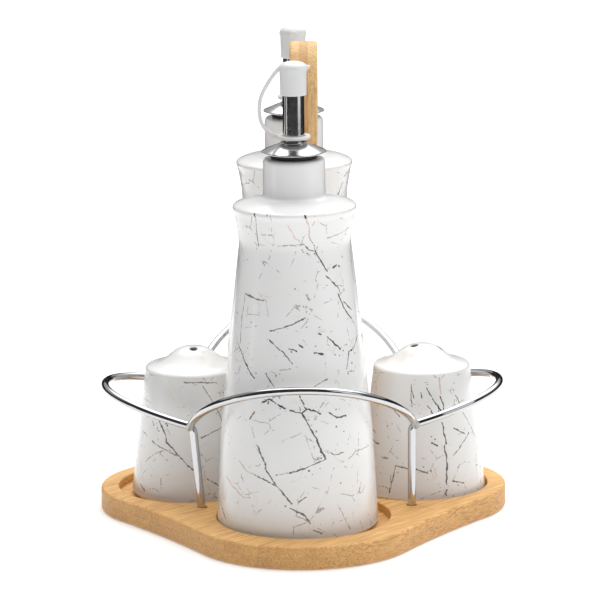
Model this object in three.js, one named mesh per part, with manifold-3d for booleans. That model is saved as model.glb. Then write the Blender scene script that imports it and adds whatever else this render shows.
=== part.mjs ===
// A table cruet set. A four-lobed bamboo tray carries a central handle board and a chrome
// wire rail, and holds two oil bottles with capped pourers and two shakers.
// Millimetres, +Z up. The origin is under the middle of the tray, on the surface it stands on.
// The front bottle stands towards -Y, and the shakers stand towards -X and +X.
import * as THREE from 'three';
import { mergeVertices } from 'three/addons/utils/BufferGeometryUtils.js';
import Module from 'manifold-3d';

const wasm = await Module();
wasm.setup();

// ---- Driving dimensions ----

const GAP = 0.3;                 // clearance between pieces that rest on or fit into each other
const OVERCUT = 1;               // how far a cut runs past the face that it opens

// How many straight sides the round pieces have.
const SIDES = {
  recess: 36,
  bottle: 28,
  shaker: 26,
  flange: 20,
  pourer: 16,
  fastener: 12,
  pouringHole: 10,
  breather: 8,
};

const TRAY = {
  thickness: 11.4,
  bottleReach: 60.5,             // tray centre to the centre of a bottle recess, along Y
  shakerReach: 55.8,             // tray centre to the centre of a shaker recess, along X
  bottleLobe: 57,                // radius of the rounded end around a bottle
  shakerLobe: 46.1,              // radius of the rounded end around a shaker
  flank: 480,                    // radius of the hollow sides between the lobes
  edge: 1,                       // softened edge
  recessDepth: 4 + GAP,
  bottleRecess: 42.5,            // radii of the recesses
  shakerRecess: 37,
  mortiseDepth: 3,
};
const BASE_Z = TRAY.thickness - TRAY.recessDepth + GAP;   // where bottles and shakers stand

const HANDLE = {
  x: 2.2,                        // the board stands a little off centre
  top: 235.4,
  footHalfWidth: 13,             // across Y
  gripHalfWidth: 19.5,
  footHalfThick: 5.2,            // across X
  gripHalfThick: 6.8,
  neckZ: 150,                    // the board starts to swell here
  gripZ: 206,                    // and is at its widest here
  lateSwell: 6,                  // the thickness swells this much higher up than the width
};

const SCREW = { y: 8, shank: 1.7, head: 3.6, headHeight: 2, length: 24, point: 3, sunk: 0.8 };

const WIRE = {
  radius: 2,
  footX: { left: 49.8, right: 53.3 },   // the left posts lean out more than the right ones
  footY: 44.4,
  socket: 5,                     // depth of the hole that a post stands in
  topX: 53.5,
  bendZ: 48.6,                   // height of the post tops, where the wire turns outwards
  bend: 4.2,                     // size of that turn
  loopReach: 98.8,               // furthest out that a side loop goes
  loopRise: 10.6,                // and how far it rises from the bend to there
  loopPull: 30,                  // half-width that shapes the loop's end
  arcReach: 104.5,               // furthest out that a bottle arc goes
  steps: 50,                     // straight pieces that a side wire is made of
};
// The arcs in front of the bottles. The rear one was bent a little lower and narrower.
const ARCS = [
  { side: 'front', turn: 0, rise: 32.2, pull: 45 },
  { side: 'rear', turn: 180, rise: 29.5, pull: 40 },
];

const BOTTLE = {
  base: 39.3,
  waist: 26.9,
  waistZ: 136,
  rim: 29.7,
  rimZ: 157,
  neck: 14.9,
  neckZ: 163,
  height: 180.8,
  wall: 3.6,
  bore: 9.8,
};

// The pourer, cap and tether are drawn in heights above the top of the neck.
const POURER = {
  plug: 9.4,                     // radius of the stopper's ribs, in the neck
  plugLength: 24,
  shoulder: 11,                  // the part of the stopper that rests on the neck
  shoulderHeight: 2.6,
  flange: 15.5,
  flangeEdge: 3.2,               // height of the domed flange's edge
  flangeRise: 4,
  flangeThick: 0.8,
  tube: 5.2,
  tubeBore: 4.6,
  tubeTop: 42,
  breather: 1.2,                 // the thin air tube beside the oil's way out
  breatherBore: 0.6,
  breatherX: -2.7,
  breatherDrop: 48,              // how far it hangs below the top of the neck
};

const CAP = {
  bottom: 30.3,
  height: 16.2,
  mouth: 6.25,
  head: 6.8,
  headHeight: 3.2,               // the head is widest this far below the top
  topWall: 1.8,
  tab: { reach: 2.4, width: 3.6, thick: 1.6, drop: 2.9 },
};

// A ring around the spout and a strap that bows out from it up to the cap.
const TETHER = { inner: 5.5, outer: 8, low: 9, thick: 2, strap: 1.1, bow: 16.2, steps: 16 };

const SHAKER = {
  base: 31.8,
  rim: 24.2,
  rimZ: 63.5,
  height: 75,
  wall: 3,
  fillHole: 12,
  holeRadius: 2.1,
};
// The shakers stand loose in their recesses. Each has its own pattern of pouring holes.
const SHAKERS = [
  { side: 'left', x: -54.4, holes: [[0.3, -4.6]] },
  { side: 'right', x: 59.9, holes: [[-3.6, -2.5], [9, 0.5]] },
];

// The bottles stand against the -X side of their recesses. The rear pourer is turned so
// that its tether is at the back.
const BOTTLE_X = BOTTLE.base + GAP - TRAY.bottleRecess;
const BOTTLES = [
  { side: 'front', y: -TRAY.bottleReach, turn: 0 },
  { side: 'rear', y: TRAY.bottleReach, turn: -Math.PI / 2 },
];

// ---- Materials ----

function material(color, roughness, metalness = 0) {
  return new THREE.MeshStandardMaterial({ color, roughness, metalness });
}

const bamboo = material(0xd9a066, 0.6);
const glaze = material(0xf4f3f1, 0.15);
const chrome = material(0xd8dadc, 0.08, 1);
const steel = material(0xa9abad, 0.3, 1);
const whitePlastic = material(0xf2f3f4, 0.5);
const softPlug = material(0x2b2b2c, 0.7);
const zinc = material(0x9c9a94, 0.4, 1);

// ---- Geometry helpers ----

// Turns a closed three.js geometry into a solid: shared vertices are merged and the
// empty triangles at a lathe's poles are dropped.
function solid(geometry) {
  const bare = geometry.clone();
  bare.deleteAttribute('normal');
  bare.deleteAttribute('uv');
  const merged = mergeVertices(bare, 1e-3);
  const index = merged.index.array;
  const kept = [];
  for (let i = 0; i < index.length; i += 3) {
    const [a, b, c] = index.slice(i, i + 3);
    if (a !== b && b !== c && a !== c) kept.push(a, b, c);
  }
  return new wasm.Manifold(new wasm.Mesh({
    numProp: 3,
    vertProperties: new Float32Array(merged.attributes.position.array),
    triVerts: new Uint32Array(kept),
  }));
}

// Turns a solid back into a named mesh and puts it in the parent group.
function addMesh(parent, name, body, look) {
  const { vertProperties, triVerts } = body.getMesh();
  const geometry = new THREE.BufferGeometry();
  geometry.setAttribute('position', new THREE.BufferAttribute(vertProperties, 3));
  geometry.setIndex(new THREE.BufferAttribute(triVerts, 1));
  geometry.computeVertexNormals();
  const mesh = new THREE.Mesh(geometry, look);
  mesh.name = name;
  parent.add(mesh);
  return mesh;
}

// Revolves [radius, height] points around Z, listed from the lowest point outwards and up.
function revolve(profile, segments) {
  const points = profile.map(([r, z]) => new THREE.Vector2(r, z));
  return solid(new THREE.LatheGeometry(points, segments).rotateX(Math.PI / 2));
}

// A ring or sleeve: the profile closes on itself.
function revolveRing(profile, segments) {
  return revolve([...profile, profile[0]], segments);
}

function cylinder(radius, bottom, top, segments, x = 0, y = 0) {
  const geometry = new THREE.CylinderGeometry(radius, radius, top - bottom, segments);
  return solid(geometry.rotateX(Math.PI / 2).translate(x, y, (top + bottom) / 2));
}

// A round bar of the given radius along a curve, with eight sides.
function bar(curve, radius, steps) {
  const section = new THREE.Shape().absarc(0, 0, radius, 0, 2 * Math.PI);
  return solid(new THREE.ExtrudeGeometry(section, {
    extrudePath: curve,
    steps,
    curveSegments: 4,
    bevelEnabled: false,
  }));
}

// Points along a smooth curve through [radius, height] points.
function smooth(points, count) {
  const curve = new THREE.SplineCurve(points.map(([r, z]) => new THREE.Vector2(r, z)));
  return curve.getPoints(count).map((p) => [p.x, p.y]);
}

// ---- Tray ----

// The outline is four arcs around the recesses, joined by wide hollow arcs tangent to both.
function trayOutline() {
  const a = TRAY.bottleLobe + TRAY.flank;
  const b = TRAY.shakerLobe + TRAY.flank;
  const span = Math.hypot(TRAY.bottleReach, TRAY.shakerReach);
  const along = (a * a - b * b + span * span) / (2 * span);
  const out = Math.sqrt(a * a - along * along);
  // Centre of the hollow arc in the +X, +Y quarter.
  const ux = TRAY.shakerReach / span;
  const uy = TRAY.bottleReach / span;
  const cx = ux * along + uy * out;
  const cy = TRAY.bottleReach - uy * along + ux * out;
  const toBottle = Math.atan2(TRAY.bottleReach - cy, -cx);
  const toShaker = Math.atan2(-cy, TRAY.shakerReach - cx);
  const bottleAngle = Math.atan2(cy - TRAY.bottleReach, cx);
  const shakerAngle = Math.atan2(cy, cx - TRAY.shakerReach);
  const shape = new THREE.Shape();
  shape.absarc(TRAY.shakerReach, 0, TRAY.shakerLobe, -shakerAngle, shakerAngle);
  shape.absarc(cx, cy, TRAY.flank, toShaker, toBottle, true);
  shape.absarc(0, TRAY.bottleReach, TRAY.bottleLobe, bottleAngle, Math.PI - bottleAngle);
  shape.absarc(-cx, cy, TRAY.flank, -Math.PI - toBottle, -Math.PI - toShaker, true);
  shape.absarc(-TRAY.shakerReach, 0, TRAY.shakerLobe, Math.PI - shakerAngle, Math.PI + shakerAngle);
  shape.absarc(-cx, -cy, TRAY.flank, Math.PI + toShaker, Math.PI + toBottle, true);
  shape.absarc(0, -TRAY.bottleReach, TRAY.bottleLobe, Math.PI + bottleAngle, 2 * Math.PI - bottleAngle);
  shape.absarc(cx, -cy, TRAY.flank, -toBottle, -toShaker, true);
  return shape;
}

function mortise() {
  const width = 2 * (HANDLE.footHalfWidth + GAP);
  const thick = 2 * (HANDLE.footHalfThick + GAP);
  const depth = 2 * TRAY.mortiseDepth;
  return solid(new THREE.BoxGeometry(thick, width, depth).translate(HANDLE.x, 0, TRAY.thickness));
}

function screwHole(y) {
  const head = SCREW.head + GAP;
  const shank = SCREW.shank + GAP;
  const seat = SCREW.sunk + SCREW.headHeight + GAP;
  const top = TRAY.thickness;
  const profile = [
    [0, -OVERCUT],
    [head, -OVERCUT],
    [head, SCREW.sunk],
    [shank, seat],
    [shank, top],
    [0, top],
  ];
  return revolve(profile, SIDES.fastener).translate([HANDLE.x, y, 0]);
}

function makeTray() {
  const blank = new THREE.ExtrudeGeometry(trayOutline(), {
    depth: TRAY.thickness - 2 * TRAY.edge,
    curveSegments: 8,
    bevelThickness: TRAY.edge,
    bevelSize: TRAY.edge,
    bevelOffset: -TRAY.edge,
    bevelSegments: 1,
  });
  let body = solid(blank.translate(0, 0, TRAY.edge));
  const cut = (hole) => {
    body = body.subtract(hole);
  };
  const top = TRAY.thickness + OVERCUT;
  const floor = TRAY.thickness - TRAY.recessDepth;
  for (const sign of [-1, 1]) {
    cut(cylinder(TRAY.bottleRecess, floor, top, SIDES.recess, 0, sign * TRAY.bottleReach));
    cut(cylinder(TRAY.shakerRecess, floor, top, SIDES.recess, sign * TRAY.shakerReach, 0));
    cut(screwHole(sign * SCREW.y));
  }
  const socket = WIRE.radius + 2 * GAP;
  const socketFloor = TRAY.thickness - WIRE.socket - GAP;
  for (const x of [-WIRE.footX.left, WIRE.footX.right]) {
    for (const y of [-WIRE.footY, WIRE.footY]) {
      cut(cylinder(socket, socketFloor, top, SIDES.fastener, x, y));
    }
  }
  return body.subtract(mortise());
}

// ---- Handle ----

// The face of the board, in the YZ plane: a straight foot, a swelling grip and a round top.
function handleFace() {
  const { footHalfWidth: foot, gripHalfWidth: grip, neckZ, gripZ, top } = HANDLE;
  const bottom = TRAY.thickness - TRAY.mortiseDepth + GAP;
  const middle = (neckZ + gripZ) / 2;
  const shape = new THREE.Shape();
  shape.moveTo(-foot, bottom);
  shape.lineTo(foot, bottom);
  shape.lineTo(foot, neckZ);
  shape.bezierCurveTo(foot, middle, grip, middle, grip, gripZ);
  shape.absellipse(0, gripZ, grip, top - gripZ, 0, Math.PI, false, 0);
  shape.bezierCurveTo(-grip, middle, -foot, middle, -foot, neckZ);
  return shape;
}

// The edge of the board, in the XZ plane: the grip is a little thicker than the foot.
function handleEdge() {
  const { footHalfThick: foot, gripHalfThick: grip, neckZ, gripZ, lateSwell } = HANDLE;
  const middle = (neckZ + gripZ) / 2 + lateSwell;
  const top = HANDLE.top + OVERCUT;
  const shape = new THREE.Shape();
  shape.moveTo(-foot, 0);
  shape.lineTo(foot, 0);
  shape.lineTo(foot, neckZ);
  shape.bezierCurveTo(foot, middle, grip, middle, grip, gripZ);
  shape.lineTo(grip, top);
  shape.lineTo(-grip, top);
  shape.lineTo(-grip, gripZ);
  shape.bezierCurveTo(-grip, middle, -foot, middle, -foot, neckZ);
  return shape;
}

// Stands a shape drawn in [across, height] up, and gives it a depth centred on zero.
function upright(shape, depth) {
  const geometry = new THREE.ExtrudeGeometry(shape, { depth, curveSegments: 10, bevelEnabled: false });
  return geometry.translate(0, 0, -depth / 2).rotateX(Math.PI / 2);
}

function screw(y) {
  const { shank, head, headHeight, length, point, sunk } = SCREW;
  const profile = [
    [0, sunk],
    [head, sunk],
    [shank, sunk + headHeight],
    [shank, length - point],
    [0, length],
  ];
  return revolve(profile, SIDES.fastener).translate([HANDLE.x, y, 0]);
}

function screwBore(y) {
  return cylinder(SCREW.shank + GAP, 0, SCREW.length + GAP, SIDES.fastener, HANDLE.x, y);
}

function makeHandle() {
  const face = solid(upright(handleFace(), 4 * HANDLE.gripHalfThick).rotateZ(Math.PI / 2));
  const edge = solid(upright(handleEdge(), 4 * HANDLE.gripHalfWidth));
  const board = face.intersect(edge).translate([HANDLE.x, 0, 0]);
  return board.subtract(screwBore(-SCREW.y)).subtract(screwBore(SCREW.y));
}

// ---- Rail ----

const v3 = (x, y, z) => new THREE.Vector3(x, y, z);

// One wire makes two posts and the side loop between them. Drawn on the +X side.
function sideWireCurve(footX) {
  const { footY, topX, bendZ, bend, loopReach, loopRise, loopPull } = WIRE;
  const foot = TRAY.thickness - WIRE.socket;
  const loopX = topX + bend;
  const loopZ = bendZ + bend;
  const pullX = (4 * loopReach - loopX) / 3;
  const pullZ = loopZ + loopRise * 4 / 3;
  const path = new THREE.CurvePath();
  const half = (sign) => ({
    foot: v3(footX, sign * footY, foot),
    top: v3(topX, sign * footY, bendZ),
    corner: v3(topX + 0.3, sign * footY, loopZ - 0.6),
    loop: v3(loopX, sign * (footY - 1), loopZ),
    pull: v3(pullX, sign * loopPull, pullZ),
  });
  const a = half(-1);
  const b = half(1);
  path.add(new THREE.LineCurve3(a.foot, a.top));
  path.add(new THREE.QuadraticBezierCurve3(a.top, a.corner, a.loop));
  path.add(new THREE.CubicBezierCurve3(a.loop, a.pull, b.pull, b.loop));
  path.add(new THREE.QuadraticBezierCurve3(b.loop, b.corner, b.top));
  path.add(new THREE.LineCurve3(b.top, b.foot));
  return path;
}

// The arc in front of a bottle, from bend to bend. Drawn on the -Y side.
function bottleArcCurve(rise, pull) {
  const { footY, topX, bendZ, bend, arcReach } = WIRE;
  const endX = topX + 0.4 * bend;
  const endZ = bendZ + 0.8 * bend;
  const pullY = (4 * arcReach - footY) / 3;
  const pullZ = endZ + rise * 4 / 3;
  return new THREE.CubicBezierCurve3(
    v3(-endX, -footY, endZ),
    v3(-pull, -pullY, pullZ),
    v3(pull, -pullY, pullZ),
    v3(endX, -footY, endZ),
  );
}

function makeRail(group) {
  const sideBar = (side, radius) => {
    const wire = bar(sideWireCurve(WIRE.footX[side]), radius, WIRE.steps);
    return side === 'left' ? wire.rotate([0, 0, 180]) : wire;
  };
  for (const side of ['left', 'right']) {
    addMesh(group, `rail_${side}_wire`, sideBar(side, WIRE.radius), chrome);
  }
  // Each arc is coped to sit against the side wires that it is welded to.
  const clear = sideBar('left', WIRE.radius + GAP).add(sideBar('right', WIRE.radius + GAP));
  for (const { side, turn, rise, pull } of ARCS) {
    const arc = bar(bottleArcCurve(rise, pull), WIRE.radius, WIRE.steps / 2);
    addMesh(group, `rail_${side}_arc`, arc.rotate([0, 0, turn]).subtract(clear), chrome);
  }
}

// ---- Oil bottle ----

function makeBottle() {
  const { base, waist, waistZ, rim, rimZ, neck, neckZ, height, wall, bore } = BOTTLE;
  const flare = [[base, 2.2], [36, 55.6], [30.4, 102.3], [waist, waistZ], [rim - 1.3, 152], [rim, rimZ]];
  const outside = smooth(flare, 11);
  const inside = smooth([[base - wall, 6], [36 - wall, 55.6], [waist - wall, waistZ]], 3).reverse();
  const profile = [
    [0, 1.2],
    [base - 9, 1.2],
    [base - 8, 0],
    [base - 1.6, 0],
    ...outside,
    [rim - 0.8, rimZ + 1.8],
    [rim - 6, rimZ + 3.7],
    [neck + 1.2, neckZ - 1],
    [neck, neckZ + 0.6],
    [neck, height - 2.4],
    [neck - 1.2, height - 0.4],
    [neck - 2.6, height],
    [bore + 0.6, height],
    [bore, height - 0.8],
    [bore, neckZ - 5],
    [waist - wall, rimZ - 6],
    ...inside,
    [0, 5],
  ];
  return revolve(profile, SIDES.bottle);
}

// ---- Pourer, in heights above the top of the neck ----

// A ribbed plug with a wider shoulder. The spout's tube passes through it.
function makeStopper() {
  const { plug, plugLength, shoulder, shoulderHeight, tube } = POURER;
  const hole = tube + GAP;
  const core = plug - 1.4;
  const ribs = 3;
  const profile = [[hole, -plugLength]];
  for (let i = 0; i < ribs; i += 1) {
    const z = -plugLength + i * plugLength / ribs;
    profile.push([core, z], [plug, z + 2], [core, z + 3]);
  }
  profile.push([core, GAP], [shoulder, GAP], [shoulder, shoulderHeight], [hole, shoulderHeight]);
  return revolveRing(profile, SIDES.pourer);
}

// A thin domed disc with its hollow side down.
function makeFlange() {
  const { flange, flangeEdge: edge, flangeRise: rise, flangeThick: thick, tube } = POURER;
  const hole = tube + GAP;
  const top = [
    [flange, edge],
    [flange * 0.72, edge + rise * 0.48],
    [flange * 0.48, edge + rise * 0.86],
    [hole, edge + rise],
  ];
  const under = top.map(([r, z]) => [r, z - thick]).reverse();
  return revolveRing([...under, ...top], SIDES.flange);
}

function makeTube() {
  const { tube, tubeBore, tubeTop, plugLength } = POURER;
  const low = 2 - plugLength;
  const profile = [[tubeBore, low], [tube, low], [tube, tubeTop], [tubeBore, tubeTop]];
  return revolveRing(profile, SIDES.pourer);
}

function makeBreather() {
  const { breather, breatherBore, breatherX, breatherDrop, tubeTop } = POURER;
  const high = tubeTop - 2;
  const profile = [
    [breatherBore, -breatherDrop],
    [breather, -breatherDrop],
    [breather, high],
    [breatherBore, high],
  ];
  return revolveRing(profile, SIDES.breather).translate([breatherX, 0, 0]);
}

// A cup over the end of the spout, with a small thumb tab on its +X side.
function makeCap() {
  const { bottom, height, mouth, head, headHeight, topWall, tab } = CAP;
  const top = bottom + height;
  const inside = POURER.tube + GAP;
  const shell = revolve([
    [0, top - topWall],
    [inside, top - topWall],
    [inside, bottom],
    [mouth, bottom],
    [head, top - headHeight],
    [head - 0.8, top - 1.3],
    [head * 0.55, top - 0.3],
    [0, top],
  ], SIDES.pourer);
  const lug = new THREE.BoxGeometry(tab.reach, tab.width, tab.thick);
  return shell.add(solid(lug.translate(head + 0.2, 0, top - tab.drop)));
}

function makeTether() {
  const { inner, outer, low, thick, strap, bow } = TETHER;
  const high = low + thick;
  const ringProfile = [[inner, low], [outer, low], [outer, high], [inner, high]];
  const ring = revolveRing(ringProfile, SIDES.pourer);
  const headZ = CAP.bottom + CAP.height - CAP.headHeight;
  const route = new THREE.CatmullRomCurve3([
    v3(-CAP.head + 1, 0, headZ + 0.4),
    v3(-bow * 0.6, 0, headZ - 4),
    v3(-bow * 0.9, 0, headZ - 12),
    v3(-bow, 0, headZ - 21),
    v3(-bow * 0.78, 0, high + 1.8),
    v3(-outer + 0.6, 0, low + thick / 2),
  ]);
  const capTop = CAP.bottom + CAP.height + OVERCUT;
  const capSpace = cylinder(CAP.head + GAP, CAP.bottom - OVERCUT, capTop, SIDES.pourer);
  return ring.add(bar(route, strap, TETHER.steps).subtract(capSpace));
}

function addPourer(bottleGroup, side, turn) {
  const group = new THREE.Group();
  group.position.z = BOTTLE.height;
  group.rotation.z = turn;
  bottleGroup.add(group);
  addMesh(group, `stopper_${side}`, makeStopper(), softPlug);
  addMesh(group, `spout_flange_${side}`, makeFlange(), steel);
  addMesh(group, `spout_tube_${side}`, makeTube(), steel);
  addMesh(group, `breather_tube_${side}`, makeBreather(), steel);
  addMesh(group, `spout_cap_${side}`, makeCap(), whitePlastic);
  addMesh(group, `cap_tether_${side}`, makeTether(), whitePlastic);
}

// ---- Shaker ----

// A hollow taper with a domed top, filled through a hole in its base.
function makeShaker(holes) {
  const { base, rim, rimZ, height, wall, fillHole, holeRadius } = SHAKER;
  const dome = smooth([
    [rim - 1.8, rimZ + 2],
    [17, rimZ + 3.6],
    [12.5, height - 4.8],
    [8, height - 1.7],
    [0, height],
  ], 8);
  const profile = [
    [0, height - wall],
    [8, height - wall - 1.9],
    [13, height - wall - 6],
    [rim - wall - 1, rimZ - 1],
    [base - wall, 4.4],
    [fillHole, 4],
    [fillHole, 1],
    [base - 6, 1],
    [base - 5, 0],
    [base - 1.4, 0],
    [base - 0.2, 0.9],
    [base, 2.4],
    [rim, rimZ],
    [rim - 0.5, rimZ + 1.3],
    ...dome,
  ];
  let body = revolve(profile, SIDES.shaker);
  for (const [x, y] of holes) {
    const hole = cylinder(holeRadius, rimZ, height + OVERCUT, SIDES.pouringHole, x, y);
    body = body.subtract(hole);
  }
  return body;
}

// A soft plug that snaps into the fill hole.
function makeShakerPlug() {
  const stem = SHAKER.fillHole - GAP;
  const lip = SHAKER.fillHole + 0.6;
  const profile = [[0, 0.5], [stem, 0.5], [stem, 4.3], [lip, 4.8], [stem - 0.6, 5.8], [0, 5.8]];
  return revolve(profile, SIDES.pourer);
}

// ---- Assembly ----

const cruetSet = new THREE.Group();

addMesh(cruetSet, 'tray', makeTray(), bamboo);
addMesh(cruetSet, 'handle_board', makeHandle(), bamboo);
addMesh(cruetSet, 'handle_screw_front', screw(-SCREW.y), zinc);
addMesh(cruetSet, 'handle_screw_rear', screw(SCREW.y), zinc);
makeRail(cruetSet);

for (const { side, y, turn } of BOTTLES) {
  const group = new THREE.Group();
  group.position.set(BOTTLE_X, y, BASE_Z);
  cruetSet.add(group);
  addMesh(group, `oil_bottle_${side}`, makeBottle(), glaze);
  addPourer(group, side, turn);
}

for (const { side, x, holes } of SHAKERS) {
  const group = new THREE.Group();
  group.position.set(x, 0, BASE_Z);
  cruetSet.add(group);
  addMesh(group, `shaker_${side}`, makeShaker(holes), glaze);
  addMesh(group, `shaker_plug_${side}`, makeShakerPlug(), whitePlastic);
}

export default cruetSet;
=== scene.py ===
"""Looks for the cruet set: fine meshes, materials, studio light and camera around the CAD frame.

Shapes are written in millimetres, relative to the axis and foot of the piece that they belong to.
Their places come from the frame. MM turns millimetres into Blender's metres.
"""
import math
from itertools import accumulate

import bmesh
import bpy
from mathutils import Matrix, Vector


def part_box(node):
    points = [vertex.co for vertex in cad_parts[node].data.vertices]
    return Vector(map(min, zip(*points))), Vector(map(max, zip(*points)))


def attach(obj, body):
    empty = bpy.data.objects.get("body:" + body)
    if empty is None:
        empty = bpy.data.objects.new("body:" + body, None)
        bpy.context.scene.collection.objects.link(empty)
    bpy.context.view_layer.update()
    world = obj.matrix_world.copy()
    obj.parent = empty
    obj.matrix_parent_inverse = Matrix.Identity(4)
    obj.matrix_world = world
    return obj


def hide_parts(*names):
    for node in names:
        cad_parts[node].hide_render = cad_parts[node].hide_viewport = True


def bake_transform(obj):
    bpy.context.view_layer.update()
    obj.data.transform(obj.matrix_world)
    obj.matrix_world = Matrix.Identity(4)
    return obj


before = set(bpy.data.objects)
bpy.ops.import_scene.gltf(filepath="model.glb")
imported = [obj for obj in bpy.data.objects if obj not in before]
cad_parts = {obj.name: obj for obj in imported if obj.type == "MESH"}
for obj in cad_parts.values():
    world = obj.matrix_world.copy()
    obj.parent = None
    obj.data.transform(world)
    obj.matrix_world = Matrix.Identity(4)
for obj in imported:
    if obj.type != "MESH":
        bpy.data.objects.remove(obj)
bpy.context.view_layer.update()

MM = 0.001
UP = Vector((0, 0, 1))

# ---- Camera, from the photograph's viewing angle ----

CAMERA = {
    "lens": 214.5,
    "distance": 1783.9,
    "pitch": 12.33,
    "roll": 0.59,
    "target": (-0.7, 0, 105.3),
}

# ---- Light: how bright the parts of the studio look, where 1 is white ----

FRONT_LIGHT = 0.05
BACK_LIGHT = 0.5
OVERHEAD_LIGHT = 2.5
FLOOR_GLOW = 0.22

# Cards stand in a ring round the set. Only reflections show them: black ones give the metal its
# dark bands, and a low grey one dims the spouts' highlight. Each row is a card's start and end in
# degrees round from the front, towards +X, its height in mm and its shade.
CARD_RADIUS = 620.0
CARDS = [
    (-180, -79, 260.0, 0.015),
    (-70, 44, 260.0, 0.015),
    (44, 74, 120.0, 0.2),
    (74, 180, 260.0, 0.015),
]
FLOOR_REACH = 9000.0
FLOOR_DROP = 0.2  # keeps the floor's face off the tray's underside

# ---- Shapes ----

CUTTER_OVERRUN = 2.0  # how far a cutter runs past the face that it opens
TRAY = {
    "thickness": 11.4,
    "bottle_reach": 60.5,
    "shaker_reach": 55.8,
    "bottle_lobe": 57.0,
    "shaker_lobe": 46.1,
    "flank": 480.0,
    "fillet": 1.5,
    "recess_depth": 4.3,
    "bottle_recess": 42.5,
    "shaker_recess": 37.0,
    "lip": 0.7,
}
POST_SOCKET = {"y": 44.4, "depth": 5.3, "radius": 2.5, "chamfer": 0.3}
POST_FEET = {"left": -49.8, "right": 53.3}
HANDLE = {
    "x": 2.2,
    "foot_z": 8.7,
    "top": 235.4,
    "foot_half_width": 13.0,
    "grip_half_width": 19.5,
    "foot_half_thick": 5.2,
    "grip_half_thick": 6.8,
    "neck_z": 150.0,
    "grip_z": 206.0,
    "fillet": 1.3,
    "slice": 4.0,
}
SCREW = {"y": 8.0, "length": 24.0, "sunk": 0.8, "pitch": 1.5, "tip": 4.0}
WIRE = {
    "radius": 2.0,
    "foot": (44.4, 6.4),
    "top": (53.5, 44.4, 48.6),
    "corner": (53.8, 44.4, 52.2),
    "loop": (57.7, 43.4, 52.8),
    "loop_reach": 98.8,
    "loop_rise": 10.6,
    "loop_pull": 30.0,
    "arc_end": (55.2, 44.4, 52.0),
    "arc_reach": 104.5,
    "arc_rise": {"front": 32.2, "rear": 29.5},
    "arc_pull": {"front": 45.0, "rear": 40.0},
}
BOTTLE_NECK_TOP = 180.8
BOTTLE_RIM = 157.0
SHAKER_RIM = 63.5
SHAKER_HOLES = {"left": [(0.3, -4.6)], "right": [(-3.6, -2.5), (9.0, 0.5)]}
KNUCKLE_GAP = 170.0  # between the knuckles of a bamboo culm
TETHER_RING = {"inner": 5.6, "outer": 8.0, "low": 9.2, "thick": 1.7}

# ---- Printed pattern ----

BOTTLE_PRINT = {"radius": 34.0, "rim": BOTTLE_RIM + 1.5}
SHAKER_PRINT = {"radius": 28.0, "rim": SHAKER_RIM + 0.8}

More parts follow.
